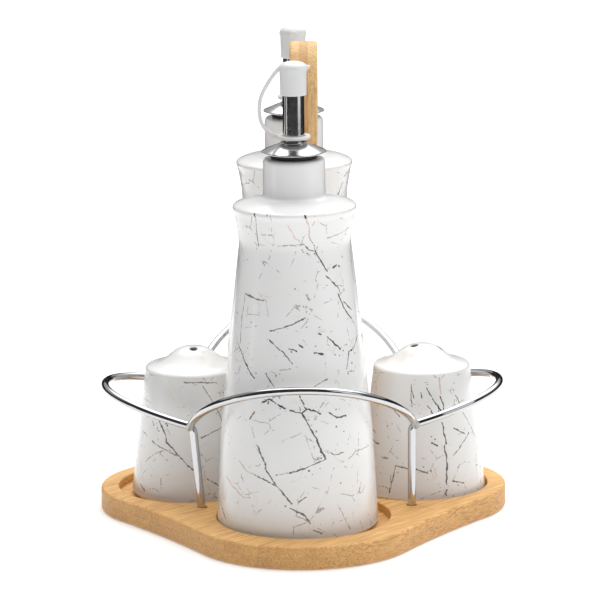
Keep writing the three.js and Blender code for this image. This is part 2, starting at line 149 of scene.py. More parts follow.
# A stroke is its tone, its half-width in mm and its points. A point is degrees round from the
# front, towards +X, and millimetres above the foot.
BOTTLE_STROKES = [
    ("ink", 0.36, (21, 140), (34, 130)),
    ("ink", 0.30, (32, 128), (40, 124), (47, 121), (49, 118)),
    ("ink", 0.34, (46, 118), (52, 111), (62, 105)),
    ("grey", 0.16, (62, 105), (71, 100), (69, 95)),
    ("ink", 0.24, (69, 95), (61, 91), (52, 90), (50, 86), (47, 82)),
    ("grey", 0.24, (-17, 143), (9, 144)),
    ("ink", 0.22, (9, 144), (14, 141), (20, 140)),
    ("brown", 0.20, (14, 147), (20, 143), (22, 138)),
    ("rose", 0.45, (10, 158), (14, 152), (14, 147)),
    ("rose", 0.30, (-6, 153), (1, 147), (8, 144)),
    ("brown", 0.26, (-39, 158), (-40, 149), (-40, 142)),
    ("grey", 0.20, (35, 146), (52, 147), (73, 149)),
    ("brown", 0.34, (-56, 118), (-45, 117), (-32, 116)),
    ("brown", 0.22, (-56, 118), (-59, 107), (-58, 94)),
    ("ink", 0.34, (-58, 92), (-44, 83), (-37, 79)),
    ("rose", 0.30, (-66, 96), (-58, 92)),
    ("ink", 0.28, (-24, 102), (-2, 106), (9, 109)),
    ("ink", 0.28, (-24, 98), (-10, 92), (-3, 87)),
    ("ink", 0.34, (-6, 94), (1, 93)),
    ("ink", 0.30, (2, 96), (6, 95)),
    ("ink", 0.46, (16, 92), (24, 91)),
    ("ink", 0.36, (20, 101), (23, 100)),
    ("ink", 0.36, (29, 99), (33, 97), (42, 92)),
    ("ink", 0.36, (41, 131), (46, 132), (51, 131)),
    ("ink", 0.26, (52, 114), (64, 109)),
    ("ink", 0.30, (-26, 82), (-18, 76)),
    ("brown", 0.26, (26, 79), (15, 76)),
    ("ink", 0.36, (-28, 68), (-22, 70), (-9, 66)),
    ("ink", 0.36, (-5, 65), (4, 64), (9, 66), (19, 63)),
    ("ink", 0.36, (26, 63), (33, 60), (41, 60)),
    ("brown", 0.22, (-19, 71), (-6, 73)),
    ("ink", 0.32, (2, 73), (7, 66)),
    ("ink", 0.32, (4, 64), (9, 58), (14, 52), (18, 46)),
    ("ink", 0.42, (18, 46), (21, 41)),
    ("ink", 0.26, (21, 41), (5, 37), (-5, 35)),
    ("grey", 0.18, (-5, 35), (-15, 34)),
    ("ink", 0.34, (-31, 47), (-24, 39), (-24, 36), (-14, 28), (-4, 20)),
    ("ink", 0.36, (-5, 18), (4, 15), (9, 10)),
    ("brown", 0.30, (11, 7), (17, 5)),
    ("ink", 0.26, (-33, 33), (-24, 31), (-14, 28)),
    ("brown", 0.34, (-39, 59), (-35, 63)),
    ("brown", 0.22, (25, 44), (28, 42), (37, 43)),
    ("brown", 0.18, (42, 39), (49, 42), (69, 42)),
    ("rose", 0.30, (-48, 38), (-40, 34), (-33, 33)),
    ("rose", 0.34, (-64, 28), (-52, 24), (-43, 21), (-37, 21)),
    ("ink", 0.34, (1, 21), (6, 23)),
    ("grey", 0.20, (30, 18), (40, 5)),
    ("brown", 0.26, (-78, 16), (-63, 7)),
    ("ink", 0.42, (-40, 158.1), (-40, 157.3)),
    ("ink", 0.38, (-26, 158.1), (-26, 157.6)),
    ("ink", 0.46, (9.5, 158.1), (10, 157.2)),
]
LEFT_SHAKER_STROKES = [
    ("ink", 0.30, (-40, 43), (-29, 35), (-28, 32), (-13, 25), (2, 18)),
    ("brown", 0.26, (-47, 31), (-37, 29), (-28, 28), (-13, 25)),
    ("grey", 0.20, (-28, 28), (-42, 25), (-55, 20)),
    ("brown", 0.26, (8, 34), (31, 39)),
    ("brown", 0.30, (-9, 62), (11, 62), (29, 61)),
    ("cream", 0.40, (-36, 63), (-24, 58), (-11, 49)),
    ("grey", 0.26, (12, 60), (26, 50), (33, 41)),
    ("brown", 0.30, (13, 14), (28, 9)),
    ("brown", 0.34, (-60, 8), (-52, 5)),
    ("ink", 0.34, (-30, 41), (-28, 40)),
    ("ink", 0.24, (-48, 41), (-46, 39)),
]
RIGHT_SHAKER_STROKES = [
    ("ink", 0.32, (20, 41), (23, 30)),
    ("ink", 0.34, (21, 29), (23, 21), (22, 15), (21, 10)),
    ("ink", 0.40, (21, 7), (20, 5)),
    ("brown", 0.26, (-14, 60), (-13, 49)),
    ("ink", 0.26, (-14, 58), (-10, 53)),
    ("ink", 0.34, (3, 58), (9, 54)),
    ("ink", 0.28, (10, 53), (21, 45)),
    ("ink", 0.28, (19, 53), (22, 50), (22, 45)),
    ("ink", 0.30, (4, 49), (12, 44)),
    ("ink", 0.26, (-3, 56), (-2, 53)),
    ("rose", 0.40, (19, 63), (20, 55)),
    ("brown", 0.26, (39, 53), (45, 48)),
    ("grey", 0.22, (48, 44), (66, 31)),
    ("ink", 0.32, (33, 37), (48, 33)),
    ("brown", 0.26, (55, 33), (31, 24)),
    ("ink", 0.42, (8, 31), (14, 29)),
    ("ink", 0.30, (-8, 18), (4, 16)),
    ("brown", 0.28, (-16, 18), (-28, 19), (-33, 5)),
    ("ink", 0.30, (28, 11), (40, 9)),
    ("brown", 0.26, (-44, 50), (-26, 43)),
    ("brown", 0.30, (-62, 29), (-50, 28)),
    ("brown", 0.30, (-45, 22), (-38, 22)),
]
FAR = 500.0  # more than any distance between a place and a stroke, in mm
# Painted shade for the dark inside of a shaker and its pouring holes.
HOLE_SHADE = (0.20, 0.20, 0.18)
TONES = {
    "cream": (0.93, 0.88, 0.78),
    "rose": (0.66, 0.50, 0.43),
    "grey": (0.34, 0.33, 0.33),
    "brown": (0.20, 0.13, 0.10),
    "ink": (0.018, 0.018, 0.022),
}


# ---- Outlines ----

def rounded(points, closed=False, steps=5):
    """An outline whose corners are softened: a point's third number is its corner's radius."""
    count = len(points)
    outline = []
    for i, point in enumerate(points):
        corner = Vector(point[:2])
        radius = point[2] if len(point) > 2 else 0
        if radius == 0 or (not closed and i in (0, count - 1)):
            outline.append(tuple(corner))
            continue
        before = Vector(points[i - 1][:2]) - corner
        after = Vector(points[(i + 1) % count][:2]) - corner
        start = corner + before.normalized() * min(radius, before.length * 0.49)
        end = corner + after.normalized() * min(radius, after.length * 0.49)
        for k in range(steps + 1):
            t = k / steps
            outline.append(tuple(start.lerp(corner, t).lerp(corner.lerp(end, t), t)))
    return outline


def spline(points, per_span=8):
    """A smooth curve through points, as Catmull-Rom spans."""
    points = [Vector(p) for p in points]
    padded = [2 * points[0] - points[1], *points, 2 * points[-1] - points[-2]]
    curve = []
    for a, b, c, d in zip(padded, padded[1:], padded[2:], padded[3:]):
        for k in range(per_span):
            t = k / per_span
            linear = (c - a) * t
            square = (2 * a - 5 * b + 4 * c - d) * t ** 2
            cube = (3 * b - 3 * c + d - a) * t ** 3
            curve.append(b + (linear + square + cube) / 2)
    curve.append(points[-1])
    return [tuple(p) for p in curve]


def bezier(points, steps):
    """Points along a Bezier curve of any degree, without its last point."""
    curve = []
    for k in range(steps):
        level = [Vector(p) for p in points]
        while len(level) > 1:
            level = [a.lerp(b, k / steps) for a, b in zip(level, level[1:])]
        curve.append(level[0])
    return curve


def arc(cx, cy, radius, start, end, steps):
    """Points along an arc, in radians, without its last point."""
    angles = [start + (end - start) * k / steps for k in range(steps)]
    return [(cx + radius * math.cos(a), cy + radius * math.sin(a)) for a in angles]


def fillet_curve(radius, steps):
    """Round a quarter fillet: how far each point is in from one face and from the other."""
    angles = [math.pi / 2 * k / steps for k in range(steps + 1)]
    return [(radius * (1 - math.cos(a)), radius * (1 - math.sin(a))) for a in angles]


# ---- Meshes ----

def new_object(name, vertices, faces):
    mesh = bpy.data.meshes.new(name)
    mesh.from_pydata([tuple(Vector(v) * MM) for v in vertices], [], faces)
    mesh.validate()
    obj = bpy.data.objects.new(name, mesh)
    bpy.context.scene.collection.objects.link(obj)
    return obj


def band(low, high):
    """Faces between two rings of vertex numbers. A ring of one is a pole."""
    count = max(len(low), len(high))
    faces = []
    for i in range(count):
        j = (i + 1) % count
        if len(low) == 1:
            faces.append((low[0], high[j], high[i]))
        elif len(high) == 1:
            faces.append((low[i], low[j], high[0]))
        else:
            faces.append((low[i], low[j], high[j], high[i]))
    return faces


def lathe(name, profile, place, segments=96, closed=False):
    """Revolves (radius, height) points, softened, round a vertical axis that stands at place."""
    vertices = []
    rings = []
    for radius, height in rounded(profile, closed):
        count = 1 if radius < 1e-6 else segments
        rings.append(list(range(len(vertices), len(vertices) + count)))
        for i in range(count):
            angle = 2 * math.pi * i / segments
            offset = Vector((radius * math.cos(angle), radius * math.sin(angle), height))
            vertices.append(place + offset)
    faces = []
    for low, high in zip(rings, rings[1:]):
        faces += band(low, high)
    if closed:
        faces += band(rings[-1], rings[0])
    return new_object(name, vertices, faces)


def loft(name, rings):
    """A closed skin over rings of points, with flat ends."""
    count = len(rings[0])
    vertices = [point for ring in rings for point in ring]
    numbers = [list(range(k * count, (k + 1) * count)) for k in range(len(rings))]
    faces = []
    for low, high in zip(numbers, numbers[1:]):
        faces += band(low, high)
    faces.append(tuple(reversed(numbers[0])))
    faces.append(tuple(numbers[-1]))
    return new_object(name, vertices, faces)


def sweep(name, path, section, grow=None, side=None):
    """Carries a section, drawn across the path, along it. grow(distance, total) scales it."""
    path = [Vector(p) for p in path]
    around = zip([path[0], *path[:-1]], [*path[1:], path[-1]])
    tangents = [(after - before).normalized() for before, after in around]
    across = Vector(side) if side else tangents[0].orthogonal()
    lengths = [0.0, *accumulate((b - a).length for a, b in zip(path, path[1:]))]
    rings = []
    for point, tangent, length in zip(path, tangents, lengths):
        across = (across - tangent * across.dot(tangent)).normalized()
        other = tangent.cross(across)
        scale = grow(length, lengths[-1]) if grow else 1
        rings.append([point + (across * x + other * y) * scale for x, y in section])
    return loft(name, rings)


def combine(obj, other, operation):
    """Cuts other out of obj, or joins it on, and removes it."""
    modifier = obj.modifiers.new("combine", "BOOLEAN")
    modifier.operation = operation
    modifier.solver = "MANIFOLD"
    modifier.object = other
    depsgraph = bpy.context.evaluated_depsgraph_get()
    mesh = bpy.data.meshes.new_from_object(obj.evaluated_get(depsgraph))
    obj.modifiers.clear()
    obj.data = mesh
    bpy.data.objects.remove(other)


def smooth(obj):
    """Shades a piece smooth except at its sharper edges, with flat faces kept flat."""
    obj.data.shade_smooth()
    obj.data.set_sharp_from_angle(angle=math.radians(35))
    modifier = obj.modifiers.new("flat faces stay flat", "WEIGHTED_NORMAL")
    modifier.keep_sharp = True


def place_piece(obj, look, body, node):
    """Smooths a finished mesh, gives it its material and puts it in the frame."""
    smooth(obj)
    obj.data.materials.clear()
    obj.data.materials.append(look)
    if body:
        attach(obj, body)
    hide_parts(node)


def foot_of(node):
    """The middle of a CAD node's underside, in mm."""
    low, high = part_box(node)
    return Vector(((low.x + high.x) / 2, (low.y + high.y) / 2, low.z)) / MM


# ---- Shader building ----

class Look:
    """One material's node tree. Its coordinates are millimetres in the CAD frame at rest."""

    def __init__(self, name, origin=(0, 0, 0)):
        self.material = bpy.data.materials.new(name)
        self.material.use_nodes = True
        self.tree = self.material.node_tree
        self.shader = self.tree.nodes["Principled BSDF"]
        coordinates = self.node("TexCoord").outputs["Object"]
        scaled = self.vector("SCALE", coordinates, scale=1 / MM)
        self.place = self.vector("SUBTRACT", scaled, tuple(origin))

    def node(self, kind):
        return self.tree.nodes.new("ShaderNode" + kind)

    def feed(self, socket, value):
        if isinstance(value, bpy.types.NodeSocket):
            self.tree.links.new(value, socket)
        else:
            socket.default_value = value

    def feed_all(self, sockets, values):
        for socket, value in zip(sockets, values):
            self.feed(socket, value)

    def set(self, **inputs):
        for name, value in inputs.items():
            self.feed(self.shader.inputs[name.replace("_", " ").title()], value)

    def math(self, operation, *values, clamp=False):
        node = self.node("Math")
        node.operation = operation
        node.use_clamp = clamp
        self.feed_all(node.inputs, values)
        return node.outputs[0]

    def plus(self, a, b):
        return self.math("ADD", a, b)

    def minus(self, a, b):
        return self.math("SUBTRACT", a, b)

    def apart(self, a, b):
        """How far apart two values are."""
        return self.math("ABSOLUTE", self.minus(a, b))

    def times(self, product, *others):
        for other in others:
            product = self.math("MULTIPLY", product, other)
        return product

    def vector(self, operation, *values, scale=None):
        node = self.node("VectorMath")
        node.operation = operation
        self.feed_all(node.inputs, values)
        if scale is not None:
            self.feed(node.inputs["Scale"], scale)
        single = operation in ("DOT_PRODUCT", "DISTANCE", "LENGTH")
        return node.outputs["Value" if single else "Vector"]

    def parts(self, vector):
        node = self.node("SeparateXYZ")
        self.feed(node.inputs[0], vector)
        return node.outputs

    def join(self, x, y, z=0.0):
        node = self.node("CombineXYZ")
        self.feed_all(node.inputs, (x, y, z))
        return node.outputs[0]

    def texture(self, kind, vector, size):
        """A noise or Voronoi texture whose features are about size mm."""
        node = self.node("Tex" + kind)
        self.feed(node.inputs["Vector"], vector)
        self.feed(node.inputs["Scale"], 1 / size)
        return node

    def noise(self, size, detail=2.0, roughness=0.5, vector=None, output="Fac"):
        node = self.texture("Noise", self.place if vector is None else vector, size)
        self.feed(node.inputs["Detail"], detail)
        self.feed(node.inputs["Roughness"], roughness)
        return node.outputs[output]

    def cells(self, vector, size):
        """Voronoi cells: distance to a cell's point, and its random colour."""
        node = self.texture("Voronoi", vector, size)
        return node.outputs["Distance"], node.outputs["Color"]

    def seams(self, vector, size):
        """Distance in mm to the straight borders of Voronoi cells."""
        node = self.texture("Voronoi", vector, size)
        node.feature = "DISTANCE_TO_EDGE"
        return self.times(node.outputs["Distance"], size)

    def random(self, value):
        node = self.node("TexWhiteNoise")
        node.noise_dimensions = "1D"
        self.feed(node.inputs["W"], value)
        return node.outputs["Value"]

    def fade(self, value, start, end, low=0.0, high=1.0):
        """Goes smoothly from low to high as value goes from start to end."""
        node = self.node("MapRange")
        node.interpolation_type = "SMOOTHSTEP"
        self.feed_all(node.inputs, (value, start, end, low, high))
        return node.outputs[0]

    def mix(self, factor, a, b):
        node = self.node("Mix")
        node.data_type = "RGBA"
        self.feed(node.inputs[0], factor)
        for socket, value in zip(node.inputs[6:8], (a, b)):
            self.feed(socket, value if isinstance(value, bpy.types.NodeSocket) else (*value, 1))
        return node.outputs[2]

    def bump(self, height, depth, strength=1.0):
        """Relief depth mm deep."""
        node = self.node("Bump")
        self.feed(node.inputs["Strength"], strength)
        self.feed(node.inputs["Distance"], depth * MM)
        self.feed(node.inputs["Height"], height)
        self.feed(self.shader.inputs["Normal"], node.outputs[0])


# ---- Bamboo ----

def plies(look, place, edges, shades):
    """Which ply a place is in, how dark it is, and how far off the next ply is, up to 1 mm."""
    ply = 0.0
    seam = 1.0
    for edge in edges:
        ply = look.plus(ply, look.math("GREATER_THAN", place, edge))
        seam = look.math("MINIMUM", seam, look.apart(place, edge))
    shade = 0.0
    for number, ply_shade in enumerate(shades):
        here = look.math("COMPARE", ply, number, 0.5)
        shade = look.math("MULTIPLY_ADD", here, ply_shade, shade)
    return ply, shade, seam


def strips(look, across, ply, seam, width):
    """Each strip's random tone, and the thin glue lines round it."""
    shifted = look.math("MULTIPLY_ADD", ply, 0.41 * width, across)
    count = look.math("DIVIDE", shifted, width)
    tone = look.random(look.math("MULTIPLY_ADD", ply, 17.3, look.math("FLOOR", count)))
    off_centre = look.apart(look.math("FRACT", count), 0.5)
    glue = look.times(look.minus(0.5, off_centre), width)
    glue_line = look.fade(look.math("MINIMUM", glue, seam), 0.05, 0.35, 1.0, 0.0)
    return tone, glue_line


def grain(look, along, across, through, tone):
    """Fine fibre, and fibre bundles: dots on an end, streaks along a side."""
    drawn = look.times(look.plus(along, look.times(tone, 300.0)), 0.035)
    wander = look.noise(9.0, vector=look.join(drawn, across, through))
    bent = look.math("MULTIPLY_ADD", wander, 1.6, across)
    place = look.join(drawn, bent, through)
    distance, random_colour = look.cells(place, 0.85)
    depth = look.math("POWER", look.parts(random_colour)[0], 0.8)
    bundle = look.times(look.fade(distance, 0.15, 0.55, 1.0, 0.0), depth)
    return look.noise(0.55, 4.0, 0.65, place), bundle


def knuckles(look, along, tone):
    """The culm's knuckles cross each strip at its own places."""
    culm = look.plus(look.math("DIVIDE", along, KNUCKLE_GAP), look.times(tone, 7.0))
    away = look.times(look.apart(look.math("FRACT", culm), 0.5), KNUCKLE_GAP)
    return look.fade(away, 0.4, 2.4, 1.0, 0.0)


def sawn_specks_and_side_shade(look):
    """How far a face is upright, flecked: speckled sawn edges, and painted shade on the upright
    sides.
    """
    facing = look.node("NewGeometry").outputs["True Normal"]
    upright = look.math("ABSOLUTE", look.parts(facing)[2])
    upright = look.fade(upright, 0.2, 0.7, 1.0, 0.0)
    speck = look.noise(0.7, 3.0, 0.75)
    return look.times(upright, look.fade(speck, 0.43, 0.62, 0.25, 1.0))


def bamboo(name, turn, ply_axis, ply_edges, ply_shades, strip_width, pale, dark, cut):
    """Laminated bamboo: strips side by side in plies, with fibre bundles along the grain.

    turn brings the grain onto the first axis and the strips' width onto the second. ply_edges
    are where the plies meet along ply_axis, and ply_shades is how dark each ply is. cut is how
    much darker the upright faces are: speckled sawn edges, and painted shade on the sides.
    """
    look = Look(name)
    node = look.node("VectorRotate")
    node.rotation_type = "EULER_XYZ"
    look.feed(node.inputs["Vector"], look.place)
    look.feed(node.inputs["Rotation"], turn)
    along, across, through = look.parts(node.outputs[0])
    ply, shade, seam = plies(look, look.parts(look.place)[ply_axis], ply_edges, ply_shades)
    tone, glue_line = strips(look, across, ply, seam, strip_width)
    fibre, bundle = grain(look, along, across, through, tone)
    cloud = look.noise(7.0, 3.0, vector=look.join(look.times(along, 0.12), across, through))
    knuckle = knuckles(look, along, tone)

    colour = look.mix(look.fade(fibre, 0.34, 0.66), pale, [0.60 * c for c in pale])
    colour = look.mix(look.times(bundle, 0.95), colour, dark)
    colour = look.mix(look.fade(cloud, 0.35, 0.7, 0.0, 0.3), colour, [0.8 * c for c in pale])
    colour = look.mix(look.math("MULTIPLY_ADD", tone, 0.16, shade), colour, dark)
    # Upright faces darker: speckled sawn edges, and painted shade on the sides.
    colour = look.mix(look.times(sawn_specks_and_side_shade(look), cut), colour, dark)
    colour = look.mix(look.times(knuckle, 0.22), colour, dark)
    colour = look.mix(look.times(glue_line, 0.16), colour, [0.6 * c for c in dark])
    look.set(base_color=colour)
    look.set(roughness=look.fade(fibre, 0.3, 0.7, 0.46, 0.62))
    relief = look.minus(fibre, look.times(bundle, 0.6))
    look.bump(look.minus(relief, look.times(glue_line, 0.2)), 0.06)
    return look.material


def tray_bamboo():
    """Two plies with the grain across the tray, from the left-front side to the right-rear."""
    return bamboo(
        "bamboo tray",
        turn=(0, 0, math.radians(-45)),
        ply_axis=2,
        ply_edges=[5.7],
        ply_shades=[0.06, 0.0],
        strip_width=19.0,
        pale=(1.0, 0.58, 0.21),
        dark=(0.42, 0.19, 0.06),
        cut=0.42,
    )


def handle_bamboo():
    """Three plies with the grain upright; the middle one is darker."""
    return bamboo(
        "bamboo handle",
        turn=(0, math.radians(90), 0),
        ply_axis=0,
        ply_edges=[HANDLE["x"] - 2.0, HANDLE["x"] + 2.0],
        ply_shades=[0.0, 0.36, 0.05],
        strip_width=15.0,
        pale=(1.0, 0.70, 0.34),
        dark=(0.52, 0.21, 0.05),
        cut=0.34,
    )


# ---- Glaze with its printed pattern ----

def stroke_distance(look, place, strokes, radius, after):
    """Distance in mm from place to the nearest stroke's edge, below zero inside it.

    Each stroke waits for the one before it, and the first one for the value after. That keeps
    the number of values that the renderer holds at a time small.
    """
    across, height, _ = look.parts(place)
    nearest = after
    for number, (_, half_width, *points) in enumerate(strokes):
        level = look.math("MAXIMUM", nearest, FAR)
        held = look.join(across, height, level)
        line = [Vector((math.radians(angle) * radius, up, FAR)) for angle, up in points]
        to_line = FAR
        for start, end in zip(line, line[1:]):
            step = end - start
            from_start = look.vector("SUBTRACT", held, tuple(start))
            dot = look.vector("DOT_PRODUCT", from_start, tuple(step))
            share = look.math("MULTIPLY", dot, 1 / step.length_squared, clamp=True)
            foot = look.vector("SCALE", tuple(step), scale=share)
            to_line = look.math("MINIMUM", look.vector("DISTANCE", from_start, foot), to_line)
        to_edge = look.minus(to_line, half_width)
        nearest = to_edge if number == 0 else look.math("MINIMUM", nearest, to_edge)
    return nearest


def shaker_inside_shade(look, x, y, z):
    """1 on a shaker's inner walls and in its pouring holes, which get painted shade, and 0
    outside.
    """
    out = look.vector("LENGTH", look.join(x, y))
    under_dome = look.math("MULTIPLY_ADD", look.times(out, out), -0.031, 74.5)
    within_wall = look.math("MULTIPLY_ADD", z, -0.1244, 30.6)
    inside = look.math("LESS_THAN", z, under_dome)
    inside = look.times(inside, look.math("LESS_THAN", out, within_wall))
    return look.times(inside, look.math("GREATER_THAN", z, 3.0))


def print_sheet(look, x, y, z, radius, rim, turn):
    """Unrolls a wall into a flat sheet, in mm. Behind, the sheet hangs upside down."""
    angle = look.math("ARCTAN2", x, look.times(y, -1.0))
    angle = look.plus(angle, math.radians(turn))
    behind = look.math("LESS_THAN", look.math("COSINE", angle), 0.0)
    height = look.math("MULTIPLY_ADD", behind, look.math("MULTIPLY_ADD", z, -2.0, rim), z)
    wrapped = look.math("WRAP", angle, math.pi / 2, -math.pi / 2)
    return look.join(look.times(wrapped, radius), height)


def printed_cracks(look, sheet, strokes, radius, below_rim, colour):
    """Prints the strokes over a colour, worn away in places. Also gives the distance to them."""
    worn = look.fade(look.noise(1.6, 2.0, 0.7), 0.60, 0.72, 0.0, 0.5)
    swell = look.fade(look.noise(2.6, 3.0, 0.6), 0.3, 0.7, -0.14, 0.16)
    worn = look.plus(worn, swell)
    nearest = 0.0
    for tone, shade in TONES.items():
        chosen = [stroke for stroke in strokes if stroke[0] == tone]
        if not chosen:
            continue
        nearest = stroke_distance(look, sheet, chosen, radius, nearest)
        ink = look.fade(look.plus(nearest, worn), -0.12, 0.14, 0.92, 0.0)
        colour = look.mix(look.times(ink, below_rim), colour, shade)
    return colour, nearest


def specks(look, ragged, nearest):
    """Specks in clusters, most of them beside the cracks."""
    distance, random_colour = look.cells(ragged, 1.9)
    size = look.fade(look.parts(random_colour)[0], 0.40, 1.0, 0.0, 0.27)
    speck = look.math("LESS_THAN", distance, size)
    beside = look.fade(nearest, 1.5, 7.0, 0.13, 0.0)
    gathered = look.plus(look.noise(11.0, 3.0, 0.6), beside)
    return look.times(speck, look.fade(gathered, 0.585, 0.66))


def veins(look):
    """A few hair-thin curved veins."""
    vein = look.apart(look.noise(34.0, 3.0, 0.55), 0.53)
    vein = look.fade(vein, 0.0015, 0.006, 1.0, 0.0)
    return look.times(vein, look.fade(look.noise(22.0, 1.0), 0.54, 0.64))


def hair_cracks(look, ragged):
    """Fine straight cracks, broken off here and there and gathered in patches."""
    crack = look.fade(look.seams(ragged, 12.0), 0.06, 0.24, 1.0, 0.0)
    unbroken = look.fade(look.noise(4.0, 3.0, 0.7), 0.50, 0.54)
    patch = look.fade(look.noise(15.0, 1.0), 0.46, 0.54)
    return look.times(crack, unbroken, patch)


def glaze(name, axis, strokes, radius, rim, turn=0.0, hollow=None):
    """White glaze with broken cracks printed below the rim.

    hollow marks the places inside a shaker, which get painted shade.
    """
    look = Look(name, axis)
    x, y, z = look.parts(look.place)
    sheet = print_sheet(look, x, y, z, radius, rim, turn)
    shake = look.noise(4.5, 5.0, 0.68, output="Color")
    shake = look.vector("SCALE", look.vector("SUBTRACT", shake, (0.5, 0.5, 0.5)), scale=2.2)
    sheet = look.vector("ADD", sheet, look.vector("MULTIPLY", shake, (1, 1, 0)))
    below_rim = look.fade(z, rim - 0.4, rim + 0.2, 1.0, 0.0)

    clean = look.noise(30.0, 2.0)
    colour = look.mix(clean, (0.86, 0.86, 0.85), (0.82, 0.825, 0.825))
    colour, nearest = printed_cracks(look, sheet, strokes, radius, below_rim, colour)
    ragged = look.vector("ADD", look.place, look.vector("SCALE", shake, scale=0.8))
    marks = (
        (specks(look, ragged, nearest), 0.75, "ink"),
        (veins(look), 0.35, "rose"),
        (hair_cracks(look, ragged), 0.65, "brown"),
    )
    for mark, strength, tone in marks:
        colour = look.mix(look.times(mark, below_rim, strength), colour, TONES[tone])
    if hollow:
        # Painted shade on the shaker's inner walls and in its holes.
        colour = look.mix(hollow(look, x, y, z), colour, HOLE_SHADE)
    look.set(base_color=colour)
    look.set(roughness=look.fade(look.noise(6.0, 3.0), 0.3, 0.7, 0.17, 0.24))
    look.set(coat_weight=0.35, coat_roughness=0.09)
    look.bump(look.noise(9.0, 2.0), 0.05, 0.35)
    return look.material


# ---- Metals, plastics ----

def chrome():
    """Bright plating with a faint haze."""
    look = Look("chrome plate")
    haze = look.noise(3.0, 4.0, 0.7)
    look.set(base_color=(0.56, 0.565, 0.58, 1), metallic=1.0)
    look.set(roughness=look.fade(haze, 0.3, 0.75, 0.05, 0.11))
    look.bump(look.noise(7.0, 2.0), 0.02, 0.3)
    return look.material


def turned_steel(name, axis, roughness):
    """Polished steel with fine lines running round its axis."""
    look = Look(name, axis)
    x, y, z = look.parts(look.place)
    out = look.vector("LENGTH", look.join(x, y))
    lines = look.noise(0.22, 3.0, 0.7, look.join(out, z))
    stain = look.noise(6.0, 3.0)
    colour = look.mix(look.fade(stain, 0.35, 0.7), (0.60, 0.60, 0.60), (0.50, 0.50, 0.51))
    look.set(base_color=colour, metallic=1.0)
    look.set(roughness=look.fade(lines, 0.3, 0.7, roughness, roughness + 0.1))
    look.bump(lines, 0.012, 0.5)
    return look.material


def plastic(name, colour, roughness, soft):
    """Moulded plastic with a fine skin texture. soft lets light into it."""
    look = Look(name)
    skin = look.noise(0.7, 4.0, 0.6)
    cloud = look.noise(8.0, 2.0)
    look.set(base_color=look.mix(cloud, colour, [0.94 * c for c in colour]))
    look.set(roughness=look.fade(skin, 0.3, 0.7, roughness - 0.05, roughness + 0.08))
    look.set(subsurface_weight=soft, subsurface_scale=0.002)
    look.bump(skin, 0.02, 0.5)
    return look.material


# ---- Tray ----

def tray_outline(inset):
    """Four lobes joined by wide hollow flanks, drawn inside the edge by inset."""
    bottle_y = TRAY["bottle_reach"]
    shaker_x = TRAY["shaker_reach"]
    a = TRAY["bottle_lobe"] + TRAY["flank"]
    b = TRAY["shaker_lobe"] + TRAY["flank"]
    span = math.hypot(bottle_y, shaker_x)
    along = (a * a - b * b + span * span) / (2 * span)
    out = math.sqrt(a * a - along * along)
    cx = (shaker_x * along + bottle_y * out) / span
    cy = bottle_y + (shaker_x * out - bottle_y * along) / span
    to_bottle = math.atan2(bottle_y - cy, -cx)
    to_shaker = math.atan2(-cy, shaker_x - cx)
    bottle_angle = math.atan2(cy - bottle_y, cx)
    shaker_angle = math.atan2(cy, cx - shaker_x)
    small = TRAY["shaker_lobe"] - inset
    large = TRAY["bottle_lobe"] - inset
    hollow = TRAY["flank"] + inset
    half = arc(shaker_x, 0, small, -shaker_angle, shaker_angle, 60)
    half += arc(cx, cy, hollow, to_shaker, to_bottle, 30)
    half += arc(0, bottle_y, large, bottle_angle, math.pi - bottle_angle, 72)
    half += arc(-cx, cy, hollow, -math.pi - to_bottle, -math.pi - to_shaker, 30)
    return half + [(-x, -y) for x, y in half]


def hollow_cutter(x, y, radius, depth, edge, segments):
    """A round hollow in the tray's top. edge is its mouth: steps out of it and below the top."""
    top = TRAY["thickness"]
    low = top - depth
    profile = [(0, low), (radius, low)]
    profile += [(radius + out, top - drop) for out, drop in edge]
    high = top + CUTTER_OVERRUN
    profile += [(profile[-1][0], high), (0, high)]
    return lathe("cutter", profile, Vector((x, y, 0)), segments)


def recess_cutter(x, y, radius):
    """The recess that a bottle or a shaker stands in."""
    return hollow_cutter(x, y, radius, TRAY["recess_depth"], fillet_curve(TRAY["lip"], 6), 128)


def socket_cutter(x, y):
    """The hole for a post's foot."""
    chamfer = POST_SOCKET["chamfer"]
    edge = [(0, chamfer), (chamfer, 0)]
    return hollow_cutter(x, y, POST_SOCKET["radius"], POST_SOCKET["depth"], edge, 32)


def screw_hole_cutter(y):
    """A countersunk hole through the tray, drilled from below."""
    low = -CUTTER_OVERRUN
    profile = [(0, low), (4.3, low), (4.3, 0), (3.9, 0.4), (3.9, SCREW["sunk"])]
    profile += [(2.0, 3.1), (2.0, 20), (0, 20)]
    return lathe("cutter", profile, Vector((HANDLE["x"], y, 0)), 48)


def make_tray(look):
    """A board with rounded edges, cut by recesses, screw holes and post sockets."""
    curve = fillet_curve(TRAY["fillet"], 6)
    layers = curve + [(TRAY["thickness"] - drop, inset) for inset, drop in curve]
    rings = [[(x, y, z) for x, y in tray_outline(inset)] for z, inset in layers]
    board = loft("tray_board", rings)
    for sign in (-1, 1):
        cutters = [
            recess_cutter(0, sign * TRAY["bottle_reach"], TRAY["bottle_recess"]),
            recess_cutter(sign * TRAY["shaker_reach"], 0, TRAY["shaker_recess"]),
            screw_hole_cutter(sign * SCREW["y"]),
            socket_cutter(POST_FEET["left"], sign * POST_SOCKET["y"]),
            socket_cutter(POST_FEET["right"], sign * POST_SOCKET["y"]),
        ]
        for cutter in cutters:
            combine(board, cutter, "DIFFERENCE")
    place_piece(board, look, "stand", "tray")


# ---- Handle ----

